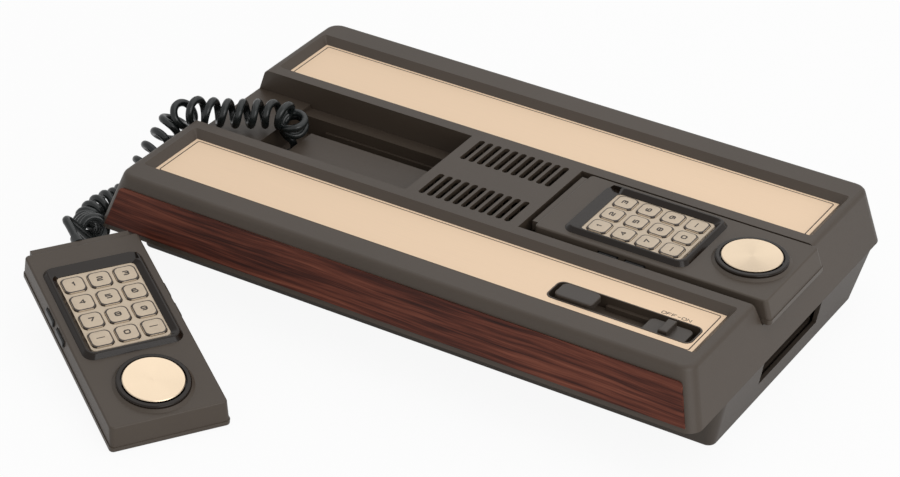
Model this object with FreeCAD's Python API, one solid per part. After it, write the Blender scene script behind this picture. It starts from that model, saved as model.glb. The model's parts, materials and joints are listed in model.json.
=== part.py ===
import FreeCAD, Part
import math
import os
from FreeCAD import Vector, Placement, Rotation

# Video game console with two hand controllers. Millimetres. X runs along the console to the right,
# Y to the back and Z up. The origin is on the table, under the middle of the console.

# Keypad of a controller, in the controller's own axes: x from the cord end to the disc end, y across
# and z up. The origin is on the top of the middle key of the first row.
key_pitch_x = 15.4
key_pitch_y = 15.55
key_rows = 4
key_columns = 3
key_length = 12.6
key_width = 13.2
key_corner = 3.2
key_dome = 0.55
key_gap = 0.3
key_travel = 0.6
key_flange = 0.5
key_flange_lip = 0.65
key_rise = 0.9
sheet_thickness = 1.0
sheet_lap = 2.4
window_start = -key_length / 2 - 2.3
window_end = (key_rows - 1) * key_pitch_x + key_length / 2 + 2.1
window_half_width = (key_columns - 1) / 2 * key_pitch_y + key_width / 2 + 1.25
window_corner = 3.0
frame_start = window_start - 9.0
frame_end = window_end + 6.4
frame_half_width = window_half_width + 6.2
frame_corner = 6.5
frame_rise = 2.9
frame_slope = 2.0
frame_round = 0.8
frame_ramp_top = 0.9
bevel_width = 3.0
bevel_foot = 0.4

# Direction disc of a controller
disc_radius = 17.45
disc_thickness = 1.3
disc_top = 2.9
disc_gap = 1.05
disc_edge = 0.4
disc_dish = 0.35
ring_width = 2.5
ring_top = 2.2
ring_round = 0.9
apron_width = 1.9
recess_floor = -0.6
pivot_level = -1.6
pivot_radius = 2.4
pivot_hole = 4.0
pivot_gap = 0.3
pivot_stem_radius = 2.2
pivot_post_wall = 3.0
apron_radius = disc_radius + disc_gap + ring_width + apron_width
disc_x = frame_end + 4.5 + apron_radius

# Case of a controller
case_top = -1.0
case_joint = -12.2
case_bottom = -15.5
case_cord_end = frame_start - 14.9
case_disc_end = disc_x + apron_radius + 2.4
case_disc_end_slope = 3.8
case_half_width = frame_half_width + 4.4
case_side_slope = 0.5
case_corner = 2.6
case_edge_round = 1.1
case_wall = 2.0
case_step = 0.5
tongue_length = 3.5
tongue_half_width = case_half_width - 4.5
tongue_drop = 0.5
tongue_height = 6.0

# Side buttons of a controller
side_button_length = 12.8
side_button_pitch = 17.2
side_button_starts = (9.0, 9.0 + side_button_pitch)
side_button_height = 4.6
side_button_level = -6.4
side_button_travel = 1.0
side_button_rise = side_button_travel + 0.5
side_button_flange = 1.0
side_button_lip = 0.8
side_button_corner = 1.6

# Console, upwards: feet, lower shell, upper shell with its trays, top
foot_height = 1.5
parting_level = 33.0
tray_floor = parting_level + 17.0
tray_depth = 16.5
top_level = tray_floor + tray_depth
shelf_level = tray_floor + 2.5
trough_floor = tray_floor - 12.5
trough_step = trough_floor + 5.2
trough_step_width = 1.5
wall = 2.5
rim_height = 2.4
base_corner = 5.0
upper_corner = 9.0
top_edge_round = 3.6

# Metal plates let into the top
plate_width = 43.9
plate_thickness = 1.0
plate_sink = 4.4
plate_bevel = 4.2
plate_gap = 0.15
plate_reach = plate_width / 2 + plate_gap + plate_bevel
plate_level = top_level - plate_sink

# Console, from front to back: the trays take the controllers, and the plates lie on both sides of them
tray_front = -44.0
tray_front_slope = 4.6
tray_rear = tray_front + tray_front_slope + 2 * (case_half_width + side_button_rise)
tray_side_gap = 0.6
front_plate_middle = tray_front - 7.7 - plate_reach
rear_plate_middle = tray_rear + 8.1 + plate_reach
top_front = front_plate_middle - plate_width / 2 - 20.55
top_rear = rear_plate_middle + plate_width / 2 + 22.55
parting_front = top_front - 10.0
parting_rear = top_rear + 3.5
belt_front = parting_front + 35.5
belt_rear = parting_rear - 5.0
base_front = belt_front + 1.6
base_rear = belt_rear - 19.0
trough_rear = tray_rear - 9.3
trough_front = trough_rear - 17.3

# Console, from the middle to the sides, as half widths of the shells at the levels where they change
base_half_width = 190.7
belt_half_width = base_half_width + 4.9
parting_half_width = belt_half_width + 1.4
top_half_width = parting_half_width - 10.5
rear_plate_half_length = top_half_width - 8.8
front_plate_half_length = top_half_width - 10.1
shelf_start = base_half_width - 37.7
pit_start = shelf_start - 18.0

# Ventilation slots in the bridge between the trays
vent_count = 11
vent_pitch = 5.73
vent_width = 3.7
vent_length = 25.5
front_vent_middle = tray_front + 1.45 + vent_length / 2
rear_vent_middle = tray_rear - 1.65 - vent_length / 2
vent_bar = 1.6
vent_bar_drop = 5.0
bridge_half = (vent_count - 1) / 2 * vent_pitch + vent_width / 2 + 7.0

# Wood panel let into the sloping front, measured up the slope from the parting line
front_rise = top_level - parting_level
front_run = top_front - parting_front
panel_bottom = 3.0
panel_top = math.hypot(front_rise, front_run) - 7.76
panel_bottom_half = parting_half_width - 6.6
panel_top_half = parting_half_width - 13.6
panel_corner = 3.0
panel_sink = 2.0
panel_thickness = 1.2

# Switch well in the front plate, with the reset button and the power slider
well_length = 89.8
well_width = 18.8
well_right = front_plate_half_length - 4.1
well_left = well_right - well_length
well_front = front_plate_middle - 15.2
well_rear = well_front + well_width
well_corner = 4.6
well_lip = 0.8
well_lip_rise = 0.25
well_ledge = 3.2
well_ledge_drop = 4.4
reset_left = well_left + 4.5
reset_width = 24.0
reset_front = well_front + 1.8
reset_depth = well_width - 5.2
reset_rise = 2.4
reset_thickness = 3.4
reset_corner = 3.4
reset_travel = 2.0
well_depth = reset_thickness - reset_rise + reset_travel + 4.6
reset_stem_width = 14.0
reset_stem_depth = 7.0
stem_reach = 4.0
slider_width = 26.4
slider_travel = 3.4
slider_end_gap = 0.4
slider_left = well_right - well_lip - slider_end_gap - slider_travel - slider_width
slider_front = well_front + 1.2
slider_depth = well_width - 4.2
slider_corner = 3.2
slider_top = plate_level - 1.5
slider_thickness = 3.0
slider_ridge_height = 3.4
slider_ridge_width = 5.4
slider_ridge_inset = 0.8
slider_stem_width = 8.0
slider_stem_depth = 5.0
sliding_gap = 0.3

# Cartridge bay in the right side and the socket at its inner end
bay_front = tray_front + 2.0
bay_width = 75.5
bay_rear = bay_front + bay_width
bay_floor = 15.0
bay_depth = 44.0
bay_inner = base_half_width - bay_depth
bay_wall = 1.6
socket_depth = 12.0
socket_slot = 3.0
socket_slot_depth = 8.0
socket_side_gap = 5.0
socket_top_gap = 4.0

# Back panel fittings
jack_x = base_half_width - 68.7
jack_level = parting_level + 14.0
jack_radius = 4.15
jack_bore = 1.6
jack_length = 9.0
jack_flange_radius = 6.5
jack_flange = 1.2
jack_flange_start = 0.7
switch_x = jack_x - 30.0
switch_level = jack_level
switch_slot_height = 5.0
switch_width = 6.6
switch_rise = 2.0
switch_travel = 4.6
switch_slot_width = switch_width + switch_travel + 0.8
inlet_x = 40.7 - base_half_width
inlet_level = jack_level
inlet_radius = 5.5
inlet_bore = 3.4
inlet_rise = 3.0
inlet_collar = 1.8
collar_thickness = 1.2

# Inside the console and under it
boss_x = base_half_width - 12.7
front_boss_y = base_front + 27.4
rear_boss_y = base_rear - 20.0
boss_radius = 5.0
boss_joint_level = 15.0
screw_head_radius = 3.2
screw_head_height = 2.2
screw_radius = 1.6
screw_fit = 0.05
screw_length = 30.0
screw_well_radius = 4.0
screw_well_depth = 5.0
foot_radius = 7.0
foot_sink = 1.0
foot_x = boss_x - 13.0
front_foot_y = base_front + 13.4
rear_foot_y = base_rear - 15.0
transformer_x = 40.7 - base_half_width
transformer_y = base_rear - 42.0
transformer_width = 58.0
transformer_depth = 34.0
transformer_height = 40.0
bobbin_corner = 8.0
board_thickness = 1.6
board_level = 9.0
board_left = transformer_x
board_right = foot_x
board_front = base_front + 11.4
board_rear = transformer_y - 6.0
board_post_radius = 3.0
board_post_inset = 8.0
chip_height = 4.0
chip_width = 15.0
chip_length = 52.0
chip_pitch = chip_length + 8.0
chip_start = board_left + 30.0
chip_shift = 8.0
chip_rows = (board_front + 22.0, board_front + 57.0)

# Controller poses: the right one lies in its tray, the left one leans on the coil of its cord
seat_gap = 0.3
right_x = bridge_half + 3.9 + tongue_length - case_cord_end
right_y = tray_rear - tray_side_gap - case_half_width - side_button_rise
left_x = -155.1
left_y = -182.4
left_yaw = -34.0
left_pitch = 10.7

# Controller cord: a curly stretch with a short straight end on each side
wire_radius = 2.35
coil_radius = 9.4
relief_length = 6.0
relief_neck = 6.0
relief_radius = 3.9
cord_gap = 0.2
cord_bushing_radius = 4.6
cord_bushing_collar = 1.6
cord_bushing_rise = 2.0
cord_bushing_x = pit_start + cord_bushing_radius + cord_bushing_collar + 0.4
coil_route = (
    (-138.6, -1.0, 61.0),
    (-155.0, -8.5, 65.0),
    (-170.0, -16.0, 65.5),
    (-184.0, -21.5, 66.0),
    (-197.0, -26.0, 62.0),
    (-207.5, -31.5, 53.5),
    (-211.0, -40.0, 45.5),
    (-211.0, -51.0, 39.0),
    (-210.5, -63.0, 35.5),
    (-211.0, -75.0, 31.0),
    (-212.0, -88.0, 24.0),
    (-212.5, -102.0, 18.0),
    (-209.0, -116.0, 15.5),
    (-202.0, -128.0, 17.0),
    (-194.5, -138.0, 22.0),
)
outer_tail_route = (
    (-190.0, -143.9, 25.0),
    (-195.5, -149.0, 34.5),
    (-196.5, -154.5, 42.0),
)
tail_y = trough_front - 9.0
tail_overlap = 1.2


def box(x0, x1, y0, y1, z0, z1):
    return Part.makeBox(x1 - x0, y1 - y0, z1 - z0, Vector(x0, y0, z0))


def cylinder(radius, z0, z1, x=0.0, y=0.0):
    return Part.makeCylinder(radius, z1 - z0, Vector(x, y, z0))


def rounded_wire(x0, x1, y0, y1, z, r):
    """Outline of a rectangle with round corners, at one level."""
    k = r * (1.0 - math.sqrt(0.5))
    points = [
        ((x0 + r, y0), (x1 - r, y0), (x1 - k, y0 + k)),
        ((x1, y0 + r), (x1, y1 - r), (x1 - k, y1 - k)),
        ((x1 - r, y1), (x0 + r, y1), (x0 + k, y1 - k)),
        ((x0, y1 - r), (x0, y0 + r), (x0 + k, y0 + k)),
    ]
    edges = []
    for index, (start, end, middle) in enumerate(points):
        following = points[(index + 1) % 4][0]
        a = Vector(start[0], start[1], z)
        b = Vector(end[0], end[1], z)
        c = Vector(middle[0], middle[1], z)
        d = Vector(following[0], following[1], z)
        edges.append(Part.LineSegment(a, b).toShape())
        edges.append(Part.Arc(b, c, d).toShape())
    return Part.Wire(edges)


def rounded_block(x0, x1, y0, y1, z0, z1, r):
    face = Part.Face(rounded_wire(x0, x1, y0, y1, z0, r))
    return face.extrude(Vector(0, 0, z1 - z0))


def tapered_block(low, high, z0, z1, r0, r1):
    """Solid between two round-cornered rectangles (x0, x1, y0, y1) at two levels."""
    wires = [rounded_wire(*low, z0, r0), rounded_wire(*high, z1, r1)]
    return Part.makeLoft(wires, True, True)


def edges_at(solid, level, tolerance=0.01):
    found = []
    for edge in solid.Edges:
        bounds = edge.BoundBox
        if abs(bounds.ZMin - level) < tolerance and abs(bounds.ZMax - level) < tolerance:
            found.append(edge)
    return found


def between(low, high, share):
    return low + (high - low) * share


def upper_outline(level, inset=0.0):
    """Outer rectangle of the upper shell at a level, drawn in by an inset."""
    share = (level - parting_level) / (top_level - parting_level)
    half = between(parting_half_width, top_half_width, share) - inset
    front = between(parting_front, top_front, share) + inset
    rear = between(parting_rear, top_rear, share) - inset
    return (-half, half, front, rear)


def lower_outline(level, inset=0.0):
    share = (level - foot_height) / (parting_level - foot_height)
    half = between(base_half_width, belt_half_width, share) - inset
    front = between(base_front, belt_front, share) + inset
    rear = between(base_rear, belt_rear, share) - inset
    return (-half, half, front, rear)


cavity_top = plate_level - plate_thickness - wall


# Front panel plane: the local y axis climbs the sloping front, the local z axis points out of it
front_angle = math.degrees(math.atan2(front_rise, front_run))
front_plane = Placement(Vector(0, parting_front, parting_level), Rotation(Vector(1, 0, 0), front_angle))


def panel_face(extra):
    """Outline of the wood panel in its plane: wider below, with round upper corners."""
    low = panel_bottom - extra
    high = panel_top + extra
    low_half = panel_bottom_half + extra
    high_half = panel_top_half + extra
    lean = math.atan2(low_half - high_half, high - low)
    run = panel_corner * math.tan((math.pi / 2 - lean) / 2)
    side = Vector(math.sin(lean), -math.cos(lean), 0)
    outward = Vector(math.cos(lean), math.sin(lean), 0)
    start = Vector(high_half - run, high, 0)
    end = Vector(high_half, high, 0) + side * run
    centre = start - Vector(0, panel_corner, 0)
    middle = centre + (Vector(0, 1, 0) + outward).normalize() * panel_corner

    def mirrored(point):
        return Vector(-point.x, point.y, point.z)

    corner = Vector(low_half, low, 0)
    edges = [
        Part.LineSegment(mirrored(corner), corner).toShape(),
        Part.LineSegment(corner, end).toShape(),
        Part.Arc(end, middle, start).toShape(),
        Part.LineSegment(start, mirrored(start)).toShape(),
        Part.Arc(mirrored(start), mirrored(middle), mirrored(end)).toShape(),
        Part.LineSegment(mirrored(end), mirrored(corner)).toShape(),
    ]
    return Part.Face(Part.Wire(edges))


def on_front(shape):
    placed = shape.copy()
    placed.Placement = front_plane
    return placed


def wood_panel():
    panel = panel_face(0.0).extrude(Vector(0, 0, panel_thickness))
    panel.translate(Vector(0, 0, -panel_sink - panel_thickness))
    return on_front(panel)


def panel_recess():
    depth = panel_sink + panel_thickness
    recess = panel_face(plate_gap).extrude(Vector(0, 0, depth + 2.0))
    recess.translate(Vector(0, 0, -depth))
    return on_front(recess)


def plate_rectangle(half_length, middle, extra=0.0):
    reach = plate_width / 2 + extra
    return (-half_length - extra, half_length + extra, middle - reach, middle + reach)


def plate_recess(half_length, middle):
    """Pocket for a plate, with a bevelled frame round it."""
    seat = plate_rectangle(half_length, middle, plate_gap)
    mouth = plate_rectangle(half_length, middle, plate_gap + plate_bevel)
    pocket = box(*seat, plate_level - plate_thickness, plate_level)
    flare = tapered_block(seat, mouth, plate_level, top_level, 0.3, 2.0)
    return pocket.fuse(flare)


def well_outline(extra):
    return (well_left - extra, well_right + extra, well_front - extra, well_rear + extra)


def front_plate():
    plate = box(*plate_rectangle(front_plate_half_length, front_plate_middle),
                plate_level - plate_thickness, plate_level)
    opening = rounded_block(*well_outline(plate_gap), plate_level - 2 * plate_thickness, plate_level + 1,
                            well_corner)
    return plate.cut(opening)


def rear_plate():
    return box(*plate_rectangle(rear_plate_half_length, rear_plate_middle),
               plate_level - plate_thickness, plate_level)


well_floor = plate_level - well_depth
reset_middle_x = reset_left + reset_width / 2
reset_middle_y = reset_front + reset_depth / 2
slider_middle_x = slider_left + slider_width / 2
slider_middle_y = slider_front + slider_depth / 2


def reset_stem(extra, z0, z1):
    half_x = reset_stem_width / 2 + extra
    half_y = reset_stem_depth / 2 + extra
    return box(reset_middle_x - half_x, reset_middle_x + half_x,
               reset_middle_y - half_y, reset_middle_y + half_y, z0, z1)


def slider_stem(extra, travel, z0, z1):
    half_x = slider_stem_width / 2 + extra
    half_y = slider_stem_depth / 2 + extra
    return box(slider_middle_x - half_x, slider_middle_x + half_x + travel,
               slider_middle_y - half_y, slider_middle_y + half_y, z0, z1)


def reset_button():
    top = plate_level + reset_rise
    cap = rounded_block(reset_left, reset_left + reset_width, reset_front, reset_front + reset_depth,
                        top - reset_thickness, top, reset_corner)
    cap = cap.makeFillet(0.9, edges_at(cap, top))
    return cap.fuse(reset_stem(0.0, well_floor - wall - stem_reach, top - reset_thickness))


def power_slider():
    """Flat carriage with a finger ridge across its middle."""
    slider_rear = slider_front + slider_depth
    plate = rounded_block(slider_left, slider_left + slider_width, slider_front, slider_rear,
                          slider_top - slider_thickness, slider_top, slider_corner)
    plate = plate.makeFillet(0.6, edges_at(plate, slider_top))
    ridge = box(slider_middle_x - slider_ridge_width / 2, slider_middle_x + slider_ridge_width / 2,
                slider_front + slider_ridge_inset, slider_rear - slider_ridge_inset,
                slider_top - slider_thickness / 2, slider_top + slider_ridge_height)
    ridge = ridge.makeFillet(0.8, edges_at(ridge, slider_top + slider_ridge_height))
    stem = slider_stem(0.0, 0.0, well_floor - wall - stem_reach, slider_top - slider_thickness / 2)
    return plate.fuse([ridge, stem])


def switch_well_walls():
    """Tub under the plate that holds the two switches."""
    tub = rounded_block(*well_outline(wall), well_floor - wall, plate_level - plate_thickness,
                        well_corner + wall)
    return tub


def well_rim():
    """Lip of the switch well, which shows inside the plate's opening."""
    return rounded_block(*well_outline(0.0), plate_level - 2 * plate_thickness, plate_level + well_lip_rise,
                         well_corner)


def switch_well_space():
    space = rounded_block(*well_outline(-well_lip), well_floor, top_level, well_corner - well_lip)
    ledge_top = plate_level - well_ledge_drop
    ledge = box(reset_left + reset_width + 2.0, slider_left - 1.0, well_rear - well_ledge, well_rear,
                well_floor, ledge_top)
    space = space.cut(ledge)
    holes = [
        reset_stem(sliding_gap, well_floor - wall - 1, well_floor + 1),
        slider_stem(sliding_gap, slider_travel, well_floor - wall - 1, well_floor + 1),
    ]
    return space.fuse(holes)


def tray_space(side):
    """Room for one controller, with the wire trough under it; side is -1 or 1."""
    outer = parting_half_width + 5.0
    open_top = top_level + 5.0
    slope = tray_front_slope / (top_level - tray_floor)
    front_low = tray_front + tray_front_slope
    front_high = tray_front - slope * 5.0
    profile = Part.makePolygon([
        Vector(0, front_low, tray_floor),
        Vector(0, tray_rear, tray_floor),
        Vector(0, tray_rear, open_top),
        Vector(0, front_high, open_top),
        Vector(0, front_low, tray_floor),
    ])
    space = Part.Face(profile).extrude(Vector(outer - bridge_half, 0, 0))
    space.translate(Vector(bridge_half, 0, 0))
    shelf = box(shelf_start, outer, tray_front - 5, tray_rear + 5, trough_floor, shelf_level)
    space = space.cut(shelf)
    pit = box(pit_start, shelf_start, front_low, trough_rear, trough_floor, tray_floor + 1)
    trough = box(bridge_half, pit_start + 1, trough_front, trough_rear, trough_step, tray_floor + 1)
    groove = box(bridge_half, pit_start + 1, trough_front, trough_rear - trough_step_width,
                 trough_floor, tray_floor)
    space = space.fuse([pit, trough, groove]).removeSplitter()
    if side < 0:
        space = space.mirror(Vector(0, 0, 0), Vector(1, 0, 0))
    return space


def vent_slots():
    slots = []
    depth = wall + 2.0
    for middle in (front_vent_middle, rear_vent_middle):
        for index in range(vent_count):
            x = (index - (vent_count - 1) / 2) * vent_pitch
            slots.append(rounded_block(x - vent_width / 2, x + vent_width / 2,
                                       middle - vent_length / 2, middle + vent_length / 2,
                                       top_level - depth, top_level + 1, vent_width / 2 - 0.05))
    return slots


def vent_bars():
    """Thin bars inside the bridge that cross the slots from side to side."""
    bars = []
    low = top_level - wall - vent_bar_drop
    for middle in (front_vent_middle, rear_vent_middle):
        for offset in (-vent_length / 4, vent_length / 4):
            bars.append(box(-bridge_half + 1, bridge_half - 1, middle + offset - vent_bar / 2,
                            middle + offset + vent_bar / 2, low, top_level - wall))
    return bars


def shell_cavity():
    """Hollow of the upper shell: front and rear bays, the space under the trays and the bridge."""
    inset = wall + 0.2
    front_inset = panel_sink + panel_thickness + wall
    low = parting_level + rim_height
    spaces = []
    lower = upper_outline(low, inset)
    upper = upper_outline(cavity_top, inset)
    front_limit = tray_front - wall
    rear_limit = tray_rear + wall
    front_low = (lower[0], lower[1], lower[2] + front_inset - inset + 1, front_limit)
    front_high = (upper[0], upper[1], upper[2] + front_inset - inset + 1, front_limit)
    spaces.append(tapered_block(front_low, front_high, low, cavity_top, 4.0, 4.0))
    rear_low = (lower[0], lower[1], rear_limit, lower[3])
    rear_high = (upper[0], upper[1], rear_limit, upper[3])
    spaces.append(tapered_block(rear_low, rear_high, low, cavity_top, 4.0, 4.0))
    under_floor = tray_floor - wall
    floor_half = upper_outline(under_floor, inset)[1]
    spaces.append(box(-floor_half, floor_half, front_limit - 1, trough_front - wall, low, under_floor))
    spaces.append(box(-floor_half, floor_half, trough_rear + wall, rear_limit + 1, low, under_floor))
    shelf_inner = shelf_start + wall
    for side in (-1, 1):
        x0, x1 = sorted((side * shelf_inner, side * floor_half))
        spaces.append(box(x0, x1, trough_front - wall - 1, trough_rear + wall + 1, low, under_floor))
    bridge_inner = bridge_half - wall
    spaces.append(box(-bridge_inner, bridge_inner, tray_front, tray_rear, low, top_level - wall))
    mouth = (-base_half_width + 1, base_half_width - 1, belt_front + wall, belt_rear - wall - 1)
    spaces.append(rounded_block(*mouth, parting_level - 1, low + 0.01, base_corner))
    return spaces


def pit_walls():
    """Walls and floors of the pits, which reach down through the hollow."""
    walls = []
    for side in (-1, 1):
        x0, x1 = sorted((side * (pit_start - wall), side * (shelf_start + wall)))
        walls.append(box(x0, x1, tray_front - wall, trough_rear + wall, trough_floor - wall, tray_floor))
    return walls


def rear_face_y(level):
    return upper_outline(level)[3]


def back_fittings_cut():
    """Openings of the back wall for the aerial jack, the channel switch and the mains lead."""
    y = rear_face_y(jack_level)
    cuts = []
    for x, level, radius in ((jack_x, jack_level, jack_radius), (inlet_x, inlet_level, inlet_radius)):
        cuts.append(Part.makeCylinder(radius, 3 * wall, Vector(x, y + wall, level), Vector(0, -1, 0)))
    half = switch_slot_width / 2
    cuts.append(box(switch_x - half, switch_x + half, y - 2 * wall, y + wall,
                    switch_level - switch_slot_height / 2, switch_level + switch_slot_height / 2))
    return cuts


def boss_places():
    return [(x, y) for x in (-boss_x, boss_x) for y in (front_boss_y, rear_boss_y)]


def cord_bushing_places():
    return [(-cord_bushing_x, tail_y), (cord_bushing_x, tail_y)]


def top_housing():
    low = upper_outline(parting_level)
    high = upper_outline(top_level)
    shell = tapered_block(low, high, parting_level, top_level, upper_corner, upper_corner)
    shell = shell.makeFillet(top_edge_round, edges_at(shell, top_level))
    for space in shell_cavity():
        shell = shell.cut(space)
    bay_roof = box(bay_inner, base_half_width, bay_front - bay_wall, bay_rear + bay_wall,
                   parting_level, parting_level + rim_height)
    shell = shell.fuse(pit_walls() + vent_bars() + [switch_well_walls(), bay_roof])
    shell = shell.cut(plate_recess(rear_plate_half_length, rear_plate_middle))
    shell = shell.cut(plate_recess(front_plate_half_length, front_plate_middle))
    shell = shell.fuse(well_rim()).cut(switch_well_space())
    shell = shell.cut(panel_recess())
    for side in (-1, 1):
        shell = shell.cut(tray_space(side))
    for slot in vent_slots():
        shell = shell.cut(slot)
    bosses = []
    for x, y in boss_places():
        bosses.append(cylinder(boss_radius, boss_joint_level, cavity_top + 0.5, x, y))
    shell = shell.fuse(bosses)
    for x, y in boss_places():
        shell = shell.cut(cylinder(screw_radius + screw_fit, boss_joint_level - 1,
                                   boss_joint_level + screw_length, x, y))
    for x, y in cord_bushing_places():
        shell = shell.cut(cylinder(cord_bushing_radius, parting_level - 1, trough_floor + 1, x, y))
    return shell.cut(Part.makeCompound(back_fittings_cut())).removeSplitter()


def bay_window():
    """Cartridge opening: through the side wall, up to the parting plane."""
    return box(base_half_width - wall * 2, belt_half_width + 5, bay_front, bay_rear,
               bay_floor, parting_level + 1)


def bottom_housing():
    low = lower_outline(foot_height)
    high = lower_outline(parting_level)
    shell = tapered_block(low, high, foot_height, parting_level, base_corner, base_corner + 2)
    shell = shell.makeFillet(1.2, edges_at(shell, foot_height))
    floor = foot_height + wall
    inner_low = lower_outline(floor, wall)
    inner_high = lower_outline(parting_level + 1, wall)
    shell = shell.cut(tapered_block(inner_low, inner_high, floor, parting_level + 1, base_corner - wall / 2,
                                    base_corner))
    fixtures = []
    for x, y in boss_places():
        fixtures.append(cylinder(boss_radius + 1.5, floor - 0.5, boss_joint_level, x, y))
    for x, y in board_post_places():
        fixtures.append(cylinder(board_post_radius, floor - 0.5, board_level, x, y))
    fixtures.append(box(transformer_x - 1, transformer_x + transformer_width + 1, transformer_y - 1,
                        transformer_y + transformer_depth + 1, floor - 0.5, floor + 1.5))
    fixtures.append(bay_shelf())
    shell = shell.fuse(fixtures)
    for x, y in boss_places():
        shell = shell.cut(cylinder(screw_well_radius, foot_height - 1, foot_height + screw_well_depth, x, y))
        shell = shell.cut(cylinder(screw_radius + screw_fit, foot_height, boss_joint_level + 1, x, y))
    for x, y in foot_places():
        shell = shell.cut(cylinder(foot_radius + plate_gap, foot_height - 1, foot_height + foot_sink, x, y))
    return shell.cut(bay_window()).removeSplitter()


def bay_shelf():
    """Floor of the cartridge bay, carried up from the base on three ribs."""
    side = base_half_width - wall
    floor = foot_height + wall
    plate = box(bay_inner, side, bay_front, bay_rear, bay_floor - wall, bay_floor)
    parts = [plate]
    for share in (0.08, 0.5, 0.92):
        y = between(bay_front, bay_rear, share)
        parts.append(box(board_right + 3, side, y - 1, y + 1, floor - 0.5, bay_floor - wall + 0.5))
    for y in (bay_front - bay_wall, bay_rear):
        parts.append(box(bay_inner, side, y, y + bay_wall, bay_floor - wall, parting_level - plate_gap))
    return parts[0].fuse(parts[1:])


def board_post_places():
    inset = board_post_inset
    xs = (board_left + inset, (board_left + board_right) / 2, board_right - inset)
    return [(x, y) for x in xs for y in (board_front + inset, board_rear - inset)]


def foot_places():
    return [(x, y) for x in (-foot_x, foot_x) for y in (front_foot_y, rear_foot_y)]


def rubber_feet():
    feet = []
    for x, y in foot_places():
        foot = cylinder(foot_radius, 0.0, foot_height + foot_sink, x, y)
        feet.append(foot.makeFillet(0.5, edges_at(foot, 0.0)))
    return Part.makeCompound(feet)


def housing_screws():
    screws = []
    for x, y in boss_places():
        seat = foot_height + screw_well_depth
        head = cylinder(screw_head_radius, seat - screw_head_height, seat, x, y)
        shank = cylinder(screw_radius, seat - 0.5, boss_joint_level + screw_length - 1, x, y)
        slot = box(x - 0.4, x + 0.4, y - screw_head_radius, y + screw_head_radius,
                   seat - screw_head_height - 1, seat - screw_head_height + 0.8)
        screws.append(head.fuse(shank).cut(slot))
    return Part.makeCompound(screws)


def main_board():
    """Circuit board with two rows of chips, as many as fit beside the cartridge socket."""
    top = board_level + board_thickness
    board = box(board_left, board_right, board_front, board_rear, board_level, top)
    pieces = [board]
    room = bay_inner - socket_depth - chip_start - chip_shift
    for row, y in enumerate(chip_rows):
        for index in range(int(room / chip_pitch)):
            x = chip_start + index * chip_pitch + row * chip_shift
            pieces.append(box(x, x + chip_length, y, y + chip_width, top, top + chip_height))
    return Part.makeCompound(pieces)


def power_transformer():
    """Laminated core with its winding bobbin standing through it."""
    z0 = foot_height + wall + 1.5
    x0 = transformer_x
    y0 = transformer_y
    core = box(x0, x0 + transformer_width, y0 + 6, y0 + transformer_depth - 6, z0, z0 + transformer_height)
    bobbin = rounded_block(x0 + 9, x0 + transformer_width - 9, y0, y0 + transformer_depth,
                           z0 + 7, z0 + transformer_height - 7, bobbin_corner)
    return core.fuse(bobbin)


def cartridge_socket():
    x1 = bay_inner
    x0 = x1 - socket_depth
    body = box(x0, x1, bay_front + socket_side_gap, bay_rear - socket_side_gap,
               board_level + board_thickness, parting_level - socket_top_gap)
    middle = between(bay_floor, parting_level, 0.45)
    slot = box(x1 - socket_slot_depth, x1 + 1,
               bay_front + 2 * socket_side_gap, bay_rear - 2 * socket_side_gap,
               middle - socket_slot / 2, middle + socket_slot / 2)
    return body.cut(slot)


def aerial_jack():
    """Round coaxial socket for the television lead, screwed into the back wall."""
    y = rear_face_y(jack_level)
    start = y - wall - 3.0
    out = Vector(0, 1, 0)
    barrel = Part.makeCylinder(jack_radius - 0.05, y + jack_length - start,
                               Vector(jack_x, start, jack_level), out)
    flange = Part.makeCylinder(jack_flange_radius, jack_flange,
                               Vector(jack_x, y + jack_flange_start, jack_level), out)
    bore = Part.makeCylinder(jack_bore, jack_length - 1, Vector(jack_x, y + 2, jack_level), out)
    return barrel.fuse(flange).cut(bore)


def channel_switch():
    """Slider of the channel selector in its slot in the back wall."""
    y = rear_face_y(switch_level)
    left = switch_x - switch_slot_width / 2 + sliding_gap
    height = switch_slot_height / 2 - sliding_gap
    knob = box(left, left + switch_width, y - wall - 1, y + switch_rise,
               switch_level - height, switch_level + height)
    plate = box(left - 4, left + switch_width + 4, y - wall - 2.2, y - wall - 0.9,
                switch_level - height - 2, switch_level + height + 2)
    return knob.fuse(plate)


def cord_bushings():
    """Flexible bushings: one in each tray pit and one for the mains lead in the back wall."""
    pieces = []
    for x, y in cord_bushing_places():
        low = trough_floor - wall - cord_bushing_rise
        sleeve = cylinder(cord_bushing_radius - plate_gap, low, trough_floor + cord_bushing_rise, x, y)
        collar = cylinder(cord_bushing_radius + cord_bushing_collar, trough_floor, trough_floor + 1.0, x, y)
        hole = cylinder(wire_radius + cord_gap, low - 1, trough_floor + cord_bushing_rise + 1, x, y)
        pieces.append(sleeve.fuse(collar).cut(hole))
    y = rear_face_y(inlet_level)
    start = y - wall - 2.0
    out = Vector(0, 1, 0)
    sleeve = Part.makeCylinder(inlet_radius - plate_gap, y + inlet_rise - start,
                               Vector(inlet_x, start, inlet_level), out)
    collar = Part.makeCylinder(inlet_radius + inlet_collar, collar_thickness,
                               Vector(inlet_x, y + 0.8, inlet_level), out)
    hole = Part.makeCylinder(inlet_bore, wall + inlet_rise + 5.0,
                             Vector(inlet_x, start - 1, inlet_level), out)
    pieces.append(sleeve.fuse(collar).cut(hole))
    return Part.makeCompound(pieces)


# Places of the two controllers
right_place = Placement(Vector(right_x, right_y, shelf_level + seat_gap - case_bottom), Rotation())
left_turn = Rotation(Vector(0, 0, 1), left_yaw).multiply(Rotation(Vector(0, 1, 0), left_pitch))
left_low_corner = left_turn.multVec(Vector(case_disc_end + case_disc_end_slope + case_step, 0, case_bottom))
left_place = Placement(Vector(left_x, left_y, -left_low_corner.z), left_turn)


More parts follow.
